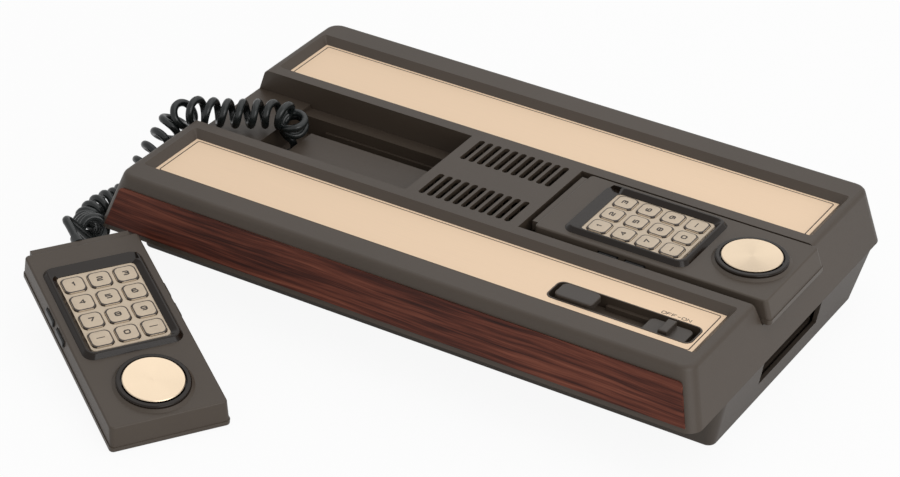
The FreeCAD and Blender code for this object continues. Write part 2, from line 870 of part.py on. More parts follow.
def case_outline(level, inset=0.0):
    """Rectangle of the controller's upper case at a level."""
    share = (case_top - level) / (case_top - case_joint)
    half = case_half_width + case_side_slope * share - inset
    return (case_cord_end + inset, case_disc_end + case_disc_end_slope * share - inset, -half, half)


def keypad_frame():
    """Raised frame round the keys, lower at the cord end, where a ramp leads down to them."""
    top = case_top + frame_rise
    foot = (frame_start, frame_end, -frame_half_width, frame_half_width)
    crest = (frame_start + frame_slope, frame_end - frame_slope,
             -frame_half_width + frame_slope, frame_half_width - frame_slope)
    outer = tapered_block(foot, crest, case_top - 0.1, top, frame_corner, frame_corner - 1.0)
    outer = outer.makeFillet(frame_round, edges_at(outer, top))
    half = window_half_width + bevel_width
    ramp_start = frame_start - 1.0
    ramp_end = window_start + 0.5
    profile = Part.makePolygon([
        Vector(ramp_start, -half, case_top + frame_ramp_top),
        Vector(ramp_end, -half, case_top + bevel_foot),
        Vector(ramp_end, -half, top + 1),
        Vector(ramp_start, -half, top + 1),
        Vector(ramp_start, -half, case_top + frame_ramp_top),
    ])
    return outer.cut(Part.Face(profile).extrude(Vector(0, 2 * half, 0)))


def window_cut():
    """Window over the keys, with a wide bevel that leads down to it from the frame."""
    outline = (window_start, window_end, -window_half_width, window_half_width)
    mouth = (window_start, window_end + bevel_width, -window_half_width - bevel_width,
             window_half_width + bevel_width)
    hole = rounded_block(*outline, case_top - 6, case_top + frame_rise + 1, window_corner)
    bevel = tapered_block(outline, mouth, case_top + bevel_foot, case_top + frame_rise + 0.02,
                          window_corner, window_corner + 1.5)
    return hole.fuse(bevel)


def disc_seat():
    """Raised ring with its apron round the direction disc."""
    outer = disc_radius + disc_gap + ring_width
    ring = cylinder(outer, case_top - 0.5, ring_top, disc_x)
    ring = ring.makeFillet(ring_round, edges_at(ring, ring_top))
    apron = Part.makeCone(apron_radius, outer, apron_width * 0.7, Vector(disc_x, 0, case_top - 0.01))
    return ring.fuse(apron)


def side_button_windows(extra):
    """Openings in both side walls, as solids that pass through the wall."""
    cuts = []
    half = side_button_height / 2 + extra
    for start in side_button_starts:
        for side in (-1, 1):
            y0, y1 = sorted((side * (case_half_width - case_wall - 2), side * (case_half_width + 3)))
            cuts.append(box(start - extra, start + side_button_length + extra, y0, y1,
                            side_button_level - half, side_button_level + half))
    return cuts


def cord_hole():
    start = Vector(case_cord_end - tongue_length - 2, 0, cord_level)
    return Part.makeCylinder(wire_radius + 0.6, 12.0, start, Vector(1, 0, 0))


cord_level = case_top - tongue_drop - tongue_height / 2


def upper_case():
    outer = tapered_block(case_outline(case_joint), case_outline(case_top), case_joint, case_top,
                          case_corner, case_corner)
    outer = outer.makeFillet(case_edge_round, edges_at(outer, case_top))
    tongue = box(case_cord_end - tongue_length, case_cord_end + 2, -tongue_half_width, tongue_half_width,
                 case_top - tongue_drop - tongue_height, case_top - tongue_drop)
    roof = case_top - case_wall
    hollow = tapered_block(case_outline(case_joint - 1, case_wall), case_outline(roof, case_wall),
                           case_joint - 1, roof, 1.5, 1.5)
    case = outer.fuse([tongue, keypad_frame(), disc_seat()])
    case = case.cut(hollow)
    sheet_pocket = box(window_start - sheet_lap - key_gap, window_end + sheet_lap + key_gap,
                       -window_half_width - sheet_lap - key_gap, window_half_width + sheet_lap + key_gap,
                       roof - 1, -key_rise + 0.02)
    case = case.cut(sheet_pocket).cut(window_cut())
    recess = cylinder(disc_radius + disc_gap, recess_floor, ring_top + 1, disc_x)
    case = case.cut(recess).cut(cylinder(pivot_hole, roof - 2, recess_floor + 1, disc_x))
    for cut in side_button_windows(sliding_gap):
        case = case.cut(cut)
    return case.cut(cord_hole()).removeSplitter()


key_floor = -key_rise - sheet_thickness - 2 * key_gap - key_flange - key_travel


def lower_case():
    """Base of the controller, with the platform under the keys and the post under the disc."""
    low = case_outline(case_joint, -case_step)
    x0, x1, y0, y1 = low
    tray = rounded_block(x0 + case_step, x1, y0, y1, case_bottom, case_joint, case_corner)
    tray = tray.makeFillet(0.8, edges_at(tray, case_bottom))
    platform = rounded_block(window_start - sheet_lap, window_end + sheet_lap, -window_half_width,
                             window_half_width, case_joint - 0.5, key_floor, window_corner)
    post_top = pivot_level - pivot_radius - pivot_gap / 3
    post = cylinder(pivot_stem_radius + pivot_post_wall, case_joint - 0.5, post_top, disc_x)
    return tray.fuse([platform, post]).removeSplitter()


def key_places():
    """Key centres, row by row from the cord end."""
    places = []
    for row in range(key_rows):
        for column in range(key_columns):
            y = (column - (key_columns - 1) / 2) * key_pitch_y
            places.append((row * key_pitch_x, y))
    return places


def key_sheet():
    top = -key_rise
    sheet = box(window_start - sheet_lap, window_end + sheet_lap, -window_half_width - sheet_lap,
                window_half_width + sheet_lap, top - sheet_thickness, top)
    holes = []
    for x, y in key_places():
        half_x = key_length / 2 + key_gap
        half_y = key_width / 2 + key_gap
        holes.append(rounded_block(x - half_x, x + half_x, y - half_y, y + half_y,
                                   top - 2 * sheet_thickness, top + 1, key_corner + key_gap))
    sheet = sheet.cut(Part.makeCompound(holes))
    rails = []
    for side in (-1, 1):
        y0, y1 = sorted((side * (window_half_width + sheet_lap), side * (window_half_width + 0.6)))
        rails.append(box(window_start - sheet_lap, window_end + sheet_lap, y0, y1, key_floor - 3.0,
                         top - sheet_thickness))
    return sheet.fuse(rails).removeSplitter()


def key(x, y):
    """Domed key with a flange that holds it under the sheet."""
    low = -key_rise - sheet_thickness - key_gap
    cap = rounded_block(x - key_length / 2, x + key_length / 2, y - key_width / 2, y + key_width / 2,
                        low, 0.0, key_corner)
    cap = cap.makeFillet(key_dome, edges_at(cap, 0.0))
    half_x = key_length / 2 + key_flange_lip
    half_y = key_width / 2 + key_flange_lip
    flange = box(x - half_x, x + half_x, y - half_y, y + half_y, low - key_flange, low)
    return cap.fuse(flange)


def direction_disc():
    """Spun metal disc, dished very slightly, on a short stem."""
    low = disc_top - disc_thickness
    disc = cylinder(disc_radius, low, disc_top, disc_x)
    disc = disc.makeChamfer(disc_edge, edges_at(disc, disc_top))
    dish_half = disc_radius - disc_edge
    dish_radius = (dish_half ** 2 + disc_dish ** 2) / (2 * disc_dish)
    disc = disc.cut(Part.makeSphere(dish_radius, Vector(disc_x, 0, disc_top + dish_radius - disc_dish)))
    stem = cylinder(pivot_stem_radius, pivot_level + pivot_radius + pivot_gap, low + 0.2, disc_x)
    return disc.fuse(stem)


def disc_pivot():
    """Ball on which the disc rocks."""
    return Part.makeSphere(pivot_radius, Vector(disc_x, 0, pivot_level))


def side_button(start, side):
    """Rocker key in the side wall, held inside by its flange."""
    outer = case_half_width + side_button_rise
    inner = case_half_width - case_wall - side_button_flange - sliding_gap
    half = side_button_height / 2
    body = rounded_block(start, start + side_button_length, -half, half, inner, outer, side_button_corner)
    body = body.makeFillet(0.5, edges_at(body, outer))
    flange = box(start - side_button_lip, start + side_button_length + side_button_lip,
                 -half - side_button_lip, half + side_button_lip, inner, inner + side_button_flange)
    button = body.fuse(flange)
    turn = Rotation(Vector(1, 0, 0), -90 * side)
    button.Placement = Placement(Vector(0, 0, side_button_level), turn)
    return button


def cord_relief():
    """Tapered sleeve that guards the cord where it leaves the left controller."""
    start = case_cord_end - tongue_length
    cone = Part.makeCone(relief_radius, wire_radius + 0.9, relief_length,
                         Vector(start - seat_gap / 3, 0, cord_level), Vector(-1, 0, 0))
    neck = Part.makeCylinder(wire_radius + 0.5, relief_neck,
                             Vector(start - seat_gap, 0, cord_level), Vector(1, 0, 0))
    hole = Part.makeCylinder(wire_radius + 0.05, relief_length + relief_neck + 4.0,
                             Vector(start - relief_length - 2.0, 0, cord_level), Vector(1, 0, 0))
    return cone.fuse(neck).cut(hole)


def controller(prefix):
    """All pieces of one controller, in its own axes."""
    pieces = {
        "upper_case": upper_case(),
        "lower_case": lower_case(),
        "key_sheet": key_sheet(),
        "direction_disc": direction_disc(),
        "disc_pivot": disc_pivot(),
    }
    for index, start in enumerate(side_button_starts):
        pieces["front_side_button_%d" % (index + 1)] = side_button(start, -1)
        pieces["rear_side_button_%d" % (index + 1)] = side_button(start, 1)
    for index, (x, y) in enumerate(key_places()):
        pieces["key_%s" % key_names[index]] = key(x, y)
    if prefix == "left":
        pieces["cord_relief"] = cord_relief()
    return pieces


key_names = ("1", "2", "3", "4", "5", "6", "7", "8", "9", "clear", "0", "enter")


def arc_path(points, share=0.45):
    """Straight runs joined by tangent arcs, and the radii of the arcs."""
    edges = []
    radii = []
    start = points[0]
    for before, corner, after in zip(points, points[1:], points[2:]):
        incoming = (corner - before).normalize()
        outgoing = (after - corner).normalize()
        turn = incoming.getAngle(outgoing)
        run = share * min((corner - before).Length, (after - corner).Length)
        radius = run / math.tan(turn / 2)
        radii.append(radius)
        first = corner - incoming * run
        last = corner + outgoing * run
        inward = (outgoing - incoming).normalize()
        middle = corner + inward * (radius / math.cos(turn / 2) - radius)
        edges.append(Part.LineSegment(start, first).toShape())
        edges.append(Part.Arc(first, middle, last).toShape())
        start = last
    edges.append(Part.LineSegment(start, points[-1]).toShape())
    return Part.Wire(edges), radii


def tube_along(points, radius):
    wire, radii = arc_path(points)
    direction = points[1] - points[0]
    profile = Part.Wire([Part.makeCircle(radius, points[0], direction)])
    tube = wire.makePipeShell([profile], True, False)
    ideal = math.pi * radius * radius * wire.Length
    print("tube length %.1f, volume share %.4f, radii %s" % (
        wire.Length, tube.Volume / ideal, " ".join("%.0f" % value for value in radii)))
    return tube


def coil_points():
    return [Vector(*point) for point in coil_route]


def relief_mouth():
    """Point on the cord's line just outside the left relief."""
    reach = case_cord_end - tongue_length - relief_length - seat_gap - cord_gap
    return left_place.multVec(Vector(reach, 0, cord_level))


def cord_tails():
    """Straight ends of the cord: up out of the pit to the coil, and from the coil to the controller."""
    points = coil_points()
    x, y = cord_bushing_places()[0]
    base = Vector(x, y, trough_floor + cord_bushing_rise + cord_gap)
    rise = points[0].z - coil_radius + tail_overlap - base.z
    first = Part.makeCylinder(wire_radius, rise, base)
    heading = (points[-1] - points[-2]).normalize()
    start = points[-1] - heading * tail_overlap
    route = [start] + [Vector(*point) for point in outer_tail_route] + [relief_mouth()]
    return Part.makeCompound([first, tube_along(route, wire_radius)])


nodes = {
    "top_housing": top_housing(),
    "bottom_housing": bottom_housing(),
    "front_plate": front_plate(),
    "rear_plate": rear_plate(),
    "wood_panel": wood_panel(),
    "rubber_feet": rubber_feet(),
    "housing_screws": housing_screws(),
    "main_board": main_board(),
    "power_transformer": power_transformer(),
    "cartridge_socket": cartridge_socket(),
    "aerial_jack": aerial_jack(),
    "channel_switch": channel_switch(),
    "cord_bushings": cord_bushings(),
    "reset_button": reset_button(),
    "power_slider": power_slider(),
    "controller_cord": tube_along(coil_points(), coil_radius),
    "cord_tails": cord_tails(),
}
for prefix, place in (("right", right_place), ("left", left_place)):
    for name, shape in controller(prefix).items():
        shape.Placement = place.multiply(shape.Placement)
        nodes["%s_%s" % (prefix, name)] = shape

os.makedirs("parts", exist_ok=True)
for name, shape in nodes.items():
    if not shape.isValid():
        print("not valid:", name)
    shape.exportStep("parts/%s.step" % name)
print("%d nodes" % len(nodes))
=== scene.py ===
import json
import math

import bmesh
import bpy
from mathutils import Matrix, Vector


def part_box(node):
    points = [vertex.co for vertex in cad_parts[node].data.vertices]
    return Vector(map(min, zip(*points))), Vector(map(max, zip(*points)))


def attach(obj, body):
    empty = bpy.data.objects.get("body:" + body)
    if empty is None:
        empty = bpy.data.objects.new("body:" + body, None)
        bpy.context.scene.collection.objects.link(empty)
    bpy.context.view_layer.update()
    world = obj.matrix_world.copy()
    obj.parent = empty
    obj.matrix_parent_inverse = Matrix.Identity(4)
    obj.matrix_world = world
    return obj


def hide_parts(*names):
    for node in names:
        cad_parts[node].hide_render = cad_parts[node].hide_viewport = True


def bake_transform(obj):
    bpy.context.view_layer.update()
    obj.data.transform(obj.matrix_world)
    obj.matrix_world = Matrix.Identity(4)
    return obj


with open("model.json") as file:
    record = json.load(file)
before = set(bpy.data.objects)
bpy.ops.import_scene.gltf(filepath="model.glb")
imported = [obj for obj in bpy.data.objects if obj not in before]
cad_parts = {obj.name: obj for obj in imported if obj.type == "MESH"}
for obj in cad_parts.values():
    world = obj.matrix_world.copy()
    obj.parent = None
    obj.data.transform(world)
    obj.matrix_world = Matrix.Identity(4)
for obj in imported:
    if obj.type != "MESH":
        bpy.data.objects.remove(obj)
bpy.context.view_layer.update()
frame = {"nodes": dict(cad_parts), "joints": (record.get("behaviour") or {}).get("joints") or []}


# Camera
# It stands where the photographer stood: to the right of the console, above its front edge, with a
# long lens. The three directions are the camera's own right, up and back.
scene = bpy.context.scene
camera_data = bpy.data.cameras.new("camera")
camera_data.sensor_width = 36.0
camera_data.lens = 117.915
camera_data.clip_end = 50.0
camera = bpy.data.objects.new("camera", camera_data)
scene.collection.objects.link(camera)
camera_right = Vector((0.85693, 0.51471, 0.02739))
camera_up = Vector((-0.28893, 0.43567, 0.85247))
camera_back = Vector((0.42684, -0.73842, 0.52205))
camera_turn = Matrix((camera_right, camera_up, camera_back)).transposed().to_4x4()
camera.matrix_world = Matrix.Translation((0.72167, -1.30430, 0.93452)) @ camera_turn
scene.camera = camera


# Curly cord of the left controller
# Glossy black vinyl lead, wound into a spring. It comes up out of the pit of the left tray, lies over
# the tray's shelf, drops down the console's side and ends in the cord end of the controller.
wire_diameter = 0.0047
coil_outer = 0.0188
coil_radius = (coil_outer - wire_diameter) / 2
points_a_turn = 16
coil_first_angle = 200
coil_spare_points = 4
route_steps = 16
wire_steps = 3
wire_roundness = 4
coil_pitches = [
    (0.0, 0.0058),
    (0.05, 0.0064),
    (0.10, 0.0090),
    (0.30, 0.0092),
    (0.36, 0.0098),
    (0.55, 0.0106),
    (0.66, 0.0074),
    (0.74, 0.0064),
    (1.0, 0.0062),
]
coil_route = [
    (-0.1440, 0.0000, 0.0532),
    (-0.1425, -0.0030, 0.0570),
    (-0.1403, -0.0060, 0.0620),
    (-0.1430, -0.0080, 0.0655),
    (-0.1500, -0.0095, 0.0652),
    (-0.1580, -0.0120, 0.0645),
    (-0.1660, -0.0175, 0.0645),
    (-0.1750, -0.0230, 0.0645),
    (-0.1840, -0.0280, 0.0648),
    (-0.1975, -0.0330, 0.0645),
    (-0.2075, -0.0345, 0.0570),
    (-0.2085, -0.0430, 0.0495),
    (-0.2085, -0.0550, 0.0445),
    (-0.2085, -0.0660, 0.0370),
    (-0.2085, -0.0770, 0.0270),
    (-0.2115, -0.0885, 0.0230),
    (-0.2145, -0.0980, 0.0245),
    (-0.2150, -0.1090, 0.0240),
    (-0.2130, -0.1190, 0.0225),
    (-0.2040, -0.1285, 0.0265),
    (-0.1930, -0.1345, 0.0335),
]
outer_tail_route = [
    (-0.2015, -0.1435, 0.0375),
    (-0.2048, -0.1465, 0.0420),
    (-0.2035, -0.1505, 0.0440),
    (-0.1990, -0.1525, 0.0428),
]
cord_exit = Vector((-0.1416, -0.0040, 0.0390))
cord_rise = Vector((0.0, 0.0, 0.003))
relief_heading = Vector((-0.8146, 0.5495, 0.1857))
relief_reach = 0.0032
vinyl_dark = (0.006, 0.008, 0.008)
vinyl_light = (0.014, 0.017, 0.017)


def add_object(name, data):
    piece = bpy.data.objects.new(name, data)
    scene.collection.objects.link(piece)
    return piece


def smooth_curve(name, points, steps):
    """A curve object of one open NURBS spline with these control points."""
    data = bpy.data.curves.new(name, "CURVE")
    data.dimensions = "3D"
    data.resolution_u = steps
    spline = data.splines.new("NURBS")
    spline.points.add(len(points) - 1)
    for place, point in zip(spline.points, points):
        place.co = (*point, 1.0)
    spline.order_u = 3
    spline.use_endpoint_u = True
    return add_object(name, data)


def points_along(curve):
    """Points of a curve that has no bevel, in order."""
    mesh = bpy.data.meshes.new_from_object(curve)
    points = [vertex.co.copy() for vertex in mesh.vertices]
    bpy.data.meshes.remove(mesh)
    return points


def running_lengths(points):
    lengths = [0.0]
    for before, after in zip(points, points[1:]):
        lengths.append(lengths[-1] + (after - before).length)
    return lengths


def point_at(points, lengths, reach):
    """Point and direction on a line of points, at a length from its start."""
    reach = min(max(reach, 0.0), lengths[-1])
    index = 1
    while index < len(points) - 1 and lengths[index] < reach:
        index += 1
    span = lengths[index] - lengths[index - 1]
    share = (reach - lengths[index - 1]) / span
    heading = (points[index] - points[index - 1]).normalized()
    return points[index - 1].lerp(points[index], share), heading


def coil_pitch(share):
    """Distance between neighbouring turns, at a share of the coil's length."""
    for (start, first), (end, last) in zip(coil_pitches, coil_pitches[1:]):
        if share <= end:
            return first + (last - first) * (share - start) / (end - start)
    return coil_pitches[-1][1]


def coil_points(line):
    """Turns of the wire round a line, as a left-handed coil."""
    lengths = running_lengths(line)
    reaches = [0.0]
    while reaches[-1] < lengths[-1]:
        reaches.append(reaches[-1] + coil_pitch(reaches[-1] / lengths[-1]) / points_a_turn)
    side = Vector((0.0, 1.0, 0.0))
    made = []
    for step, reach in enumerate(reaches):
        centre, heading = point_at(line, lengths, reach)
        side = (side - heading * side.dot(heading)).normalized()
        across = heading.cross(side)
        angle = math.radians(coil_first_angle) - 2 * math.pi * step / points_a_turn
        made.append(centre + (side * math.cos(angle) + across * math.sin(angle)) * coil_radius)
    return made


def curve_to_mesh(name, curve, radius, roundness):
    """A closed tube round a curve, as a mesh object."""
    curve.data.bevel_depth = radius
    curve.data.bevel_resolution = roundness
    curve.data.use_fill_caps = True
    mesh = bpy.data.meshes.new_from_object(curve)
    bpy.data.objects.remove(curve)
    for face in mesh.polygons:
        face.use_smooth = True
    mesh.name = name
    return add_object(name, mesh)


route_curve = smooth_curve("cord_route", coil_route, route_steps)
coil_line = points_along(route_curve)
bpy.data.objects.remove(route_curve)
turns = coil_points(coil_line)[:-coil_spare_points]
inner_tail = [cord_exit, cord_exit + cord_rise, cord_exit + 2 * cord_rise]
relief_low, relief_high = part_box("left_cord_relief")
relief_end = (relief_low + relief_high) / 2 + relief_heading * relief_reach
outer_tail = [Vector(point) for point in outer_tail_route] + [relief_end]
cord_curve = smooth_curve("cord_line", inner_tail + turns + outer_tail, wire_steps)
cord_path = points_along(cord_curve)
coiled_cord = curve_to_mesh("coiled_cord", cord_curve, wire_diameter / 2, wire_roundness)


def new_material(name):
    """An empty node material: its node tree and its shader."""
    material = bpy.data.materials.new(name)
    material.use_nodes = True
    tree = material.node_tree
    return material, tree, tree.nodes["Principled BSDF"]


def ramp(tree, value, stops):
    """Colour ramp over a value; stops are (place, colour) pairs."""
    node = tree.nodes.new("ShaderNodeValToRGB")
    elements = node.color_ramp.elements
    elements[0].position, elements[0].color = stops[0][0], (*stops[0][1], 1.0)
    elements[1].position, elements[1].color = stops[-1][0], (*stops[-1][1], 1.0)
    for place, colour in stops[1:-1]:
        elements.new(place).color = (*colour, 1.0)
    tree.links.new(value, node.inputs["Fac"])
    return node.outputs["Color"]


def two_tone(tree, value, dark, light):
    """Ramp between two near tones of one colour."""
    return ramp(tree, value, [(0.3, dark), (0.7, light)])


def shade(colour, share):
    """A colour with this share of its light."""
    return tuple(share * part for part in colour)


def object_coordinates(tree):
    return tree.nodes.new("ShaderNodeTexCoord").outputs["Object"]


def noise(tree, vector, scale, detail=2.0):
    node = tree.nodes.new("ShaderNodeTexNoise")
    node.inputs["Scale"].default_value = scale
    node.inputs["Detail"].default_value = detail
    tree.links.new(vector, node.inputs["Vector"])
    return node.outputs["Fac"]


def stretch(tree, vector, scale, place=(0, 0, 0), turn=(0, 0, 0), kind="POINT"):
    node = tree.nodes.new("ShaderNodeMapping")
    node.vector_type = kind
    node.inputs["Scale"].default_value = scale
    node.inputs["Location"].default_value = place
    node.inputs["Rotation"].default_value = turn
    tree.links.new(vector, node.inputs["Vector"])
    return node.outputs["Vector"]


def bump(tree, shader, height, distance, strength=1.0):
    node = tree.nodes.new("ShaderNodeBump")
    node.inputs["Distance"].default_value = distance
    node.inputs["Strength"].default_value = strength
    tree.links.new(height, node.inputs["Height"])
    tree.links.new(node.outputs["Normal"], shader.inputs["Normal"])


def spread(tree, value, low, high):
    """A value from 0 to 1 mapped on a range."""
    node = tree.nodes.new("ShaderNodeMapRange")
    node.inputs["To Min"].default_value = low
    node.inputs["To Max"].default_value = high
    tree.links.new(value, node.inputs["Value"])
    return node.outputs["Result"]


def cord_vinyl():
    material, tree, shader = new_material("cord_vinyl")
    place = object_coordinates(tree)
    tone = noise(tree, place, 90.0)
    smear = noise(tree, place, 400.0)
    tree.links.new(two_tone(tree, tone, vinyl_dark, vinyl_light), shader.inputs["Base Color"])
    tree.links.new(spread(tree, smear, 0.20, 0.34), shader.inputs["Roughness"])
    bump(tree, shader, noise(tree, place, 900.0), 0.0001, 0.3)
    return material


black_vinyl = cord_vinyl()
coiled_cord.data.materials.append(black_vinyl)
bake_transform(coiled_cord)
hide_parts("controller_cord", "cord_tails")


# Housing
# Two injection-moulded shells in dark brown-grey plastic with a fine spark-eroded texture. The lower
# shell is a shade darker.
housing_dark = (0.055, 0.040, 0.028)
housing_light = (0.063, 0.046, 0.033)
base_dark = (0.046, 0.035, 0.026)
base_light = (0.053, 0.040, 0.030)
shell_grain = 1700.0
shell_relief = 0.00012


def grain_group():
    """Fine moulded texture: its height and a slow drift of tone."""
    group = bpy.data.node_groups.new("moulded_grain", "ShaderNodeTree")
    group.interface.new_socket("Vector", in_out="INPUT", socket_type="NodeSocketVector")
    group.interface.new_socket("Size", in_out="INPUT", socket_type="NodeSocketFloat")
    group.interface.new_socket("Height", in_out="OUTPUT", socket_type="NodeSocketFloat")
    group.interface.new_socket("Drift", in_out="OUTPUT", socket_type="NodeSocketFloat")
    entry = group.nodes.new("NodeGroupInput")
    leave = group.nodes.new("NodeGroupOutput")
    fine = group.nodes.new("ShaderNodeTexNoise")
    fine.inputs["Detail"].default_value = 1.0
    group.links.new(entry.outputs["Vector"], fine.inputs["Vector"])
    group.links.new(entry.outputs["Size"], fine.inputs["Scale"])
    slow = group.nodes.new("ShaderNodeTexNoise")
    slow.inputs["Scale"].default_value = 14.0
    slow.inputs["Detail"].default_value = 3.0
    group.links.new(entry.outputs["Vector"], slow.inputs["Vector"])
    group.links.new(fine.outputs["Fac"], leave.inputs["Height"])
    group.links.new(slow.outputs["Fac"], leave.inputs["Drift"])
    return group


moulded_grain = grain_group()


def moulded_plastic(name, dark, light, size, depth, roughness):
    """A plastic in two near tones, with a grain of this size and depth; roughness is a range."""
    material, tree, shader = new_material(name)
    grain = tree.nodes.new("ShaderNodeGroup")
    grain.node_tree = moulded_grain
    grain.inputs["Size"].default_value = size
    tree.links.new(object_coordinates(tree), grain.inputs["Vector"])
    tree.links.new(two_tone(tree, grain.outputs["Drift"], dark, light), shader.inputs["Base Color"])
    tree.links.new(spread(tree, grain.outputs["Height"], *roughness), shader.inputs["Roughness"])
    bump(tree, shader, grain.outputs["Height"], depth, 0.6)
    return material


def dress(material, *names):
    """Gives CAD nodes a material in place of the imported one."""
    for name in names:
        mesh = frame["nodes"][name].data
        mesh.materials.clear()
        mesh.materials.append(material)


housing_plastic = moulded_plastic("housing_plastic", housing_dark, housing_light,
                                  shell_grain, shell_relief, (0.40, 0.50))
base_plastic = moulded_plastic("base_plastic", base_dark, base_light,
                               shell_grain, shell_relief, (0.44, 0.54))
dress(housing_plastic, "top_housing")
dress(base_plastic, "bottom_housing")


# Gold plates
# Two anodised aluminium plates let into the top, finely brushed along their length, with a brown line
# printed round the border. The rear plate's line runs on under the trays' edge.
line_brown = (0.045, 0.026, 0.016)
line_width = 0.0007
line_corner = 0.0013
line_inset = (0.0025, 0.0019)
line_run_on = 0.02
plate_gold = (0.930, 0.700, 0.490)
plate_brush = (25.0, 2600.0, 1.0)


def math_node(tree, operation, first, second=None):
    node = tree.nodes.new("ShaderNodeMath")
    node.operation = operation
    for index, value in enumerate((first, second)):
        if value is None:
            continue
        if isinstance(value, (int, float)):
            node.inputs[index].default_value = value
        else:
            tree.links.new(value, node.inputs[index])
    return node.outputs["Value"]


def rounded_distance(tree, x, y, half_x, half_y, corner):
    """Distance to a rounded rectangle round the origin, below 0 inside it."""
    beyond = [math_node(tree, "SUBTRACT", math_node(tree, "ABSOLUTE", value), half - corner)
              for value, half in ((x, half_x), (y, half_y))]
    positive = [math_node(tree, "MAXIMUM", value, 0.0) for value in beyond]
    squares = [math_node(tree, "POWER", value, 2.0) for value in positive]
    outer = math_node(tree, "SQRT", math_node(tree, "ADD", *squares))
    inner = math_node(tree, "MINIMUM", math_node(tree, "MAXIMUM", *beyond), 0.0)
    return math_node(tree, "SUBTRACT", math_node(tree, "ADD", outer, inner), corner)


def flat_parts(tree, vector):
    """The x and the y of a vector."""
    parts = tree.nodes.new("ShaderNodeSeparateXYZ")
    tree.links.new(vector, parts.inputs["Vector"])
    return parts.outputs["X"], parts.outputs["Y"]


def border_mask(tree, half_length, front, rear):
    """1 on a line round a rectangle with rounded corners, 0 elsewhere."""
    x, y = flat_parts(tree, object_coordinates(tree))
    from_middle = math_node(tree, "SUBTRACT", y, (front + rear) / 2)
    distance = rounded_distance(tree, x, from_middle, half_length, (rear - front) / 2, line_corner)
    return math_node(tree, "LESS_THAN", math_node(tree, "ABSOLUTE", distance), line_width / 2)


def mix_colour(tree, factor, first, second):
    """Mix of two colours; each is a colour or a node's output."""
    node = tree.nodes.new("ShaderNodeMix")
    node.data_type = "RGBA"
    tree.links.new(factor, node.inputs["Factor"])
    for socket, colour in ((node.inputs[6], first), (node.inputs[7], second)):
        if isinstance(colour, tuple):
            socket.default_value = (*colour, 1.0)
        else:
            tree.links.new(colour, socket)
    return node.outputs[2]


def gold_plate(name, half_length, front, rear):
    """Brushed gold with a brown line round a border that reaches from front to rear."""
    material, tree, shader = new_material(name)
    brushed = noise(tree, stretch(tree, object_coordinates(tree), plate_brush), 1.0, 3.0)
    gold = two_tone(tree, brushed, shade(plate_gold, 0.97), plate_gold)
    lines = border_mask(tree, half_length, front, rear)
    tree.links.new(mix_colour(tree, lines, gold, line_brown), shader.inputs["Base Color"])
    tree.links.new(spread(tree, brushed, 0.42, 0.55), shader.inputs["Roughness"])
    shader.inputs["Metallic"].default_value = 0.35
    bump(tree, shader, brushed, 0.00002, 0.4)
    return material


rear_low, rear_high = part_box("rear_plate")
front_low, front_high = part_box("front_plate")
end_inset, edge_inset = line_inset
rear_gold = gold_plate("rear_gold", rear_high.x - end_inset,
                       rear_low.y - line_run_on, rear_high.y - edge_inset)
front_gold = gold_plate("front_gold", front_high.x - end_inset,
                        front_low.y + edge_inset, front_high.y - edge_inset)
dress(rear_gold, "rear_plate")
dress(front_gold, "front_plate")


# Wood panel
# Rosewood-pattern laminate, satin lacquered, let into the sloping front. The grain runs along it.
wood_colours = [
    (0.34, (0.014, 0.004, 0.003)),
    (0.46, (0.060, 0.015, 0.009)),
    (0.54, (0.110, 0.029, 0.017)),
    (0.68, (0.200, 0.062, 0.036)),
]
grain_waves = (9.0, 30.0, 30.0)
grain_bend = (0.0, 0.003, 0.007)
grain_bands = (11.0, 240.0, 400.0)
grain_streaks = (40.0, 1200.0, 2000.0)
band_share = 0.68


def rosewood():
    material, tree, shader = new_material("rosewood")
    place = object_coordinates(tree)
    warp = noise(tree, stretch(tree, place, grain_waves), 1.0, 2.0)
    drift = tree.nodes.new("ShaderNodeVectorMath")
    drift.operation = "MULTIPLY_ADD"
    drift.inputs[1].default_value = grain_bend
    tree.links.new(warp, drift.inputs[0])
    tree.links.new(place, drift.inputs[2])
    bands = noise(tree, stretch(tree, drift.outputs["Vector"], grain_bands), 1.0, 3.0)
    streaks = noise(tree, stretch(tree, drift.outputs["Vector"], grain_streaks), 1.0, 2.0)
    banding = math_node(tree, "MULTIPLY", bands, band_share)
    streaking = math_node(tree, "MULTIPLY", streaks, 1.0 - band_share)
    wood = ramp(tree, math_node(tree, "ADD", banding, streaking), wood_colours)
    tree.links.new(wood, shader.inputs["Base Color"])
    tree.links.new(spread(tree, streaks, 0.34, 0.46), shader.inputs["Roughness"])
    shader.inputs["Specular IOR Level"].default_value = 0.2
    bump(tree, shader, streaks, 0.00005, 0.4)
    return material


dress(rosewood(), "wood_panel")


# Switches of the front plate
# Reset button and power slider, moulded in the housing's plastic with a satin face.
switch_plastic = moulded_plastic("switch_plastic", (0.044, 0.034, 0.026), (0.050, 0.039, 0.031),
                                 2200.0, 0.00006, (0.38, 0.46))
dress(switch_plastic, "reset_button", "power_slider")


# Back panel and underside
# Nickel-plated aerial socket, black selector knob, black bushings, rubber feet and zinc-plated screws.
def plain_metal(name, colour, roughness):
    """A bare metal with faint smudges; roughness is a range."""
    material, tree, shader = new_material(name)
    smudge = noise(tree, object_coordinates(tree), 260.0, 4.0)
    tree.links.new(two_tone(tree, smudge, shade(colour, 0.86), colour), shader.inputs["Base Color"])
    tree.links.new(spread(tree, smudge, *roughness), shader.inputs["Roughness"])
    shader.inputs["Metallic"].default_value = 1.0
    return material


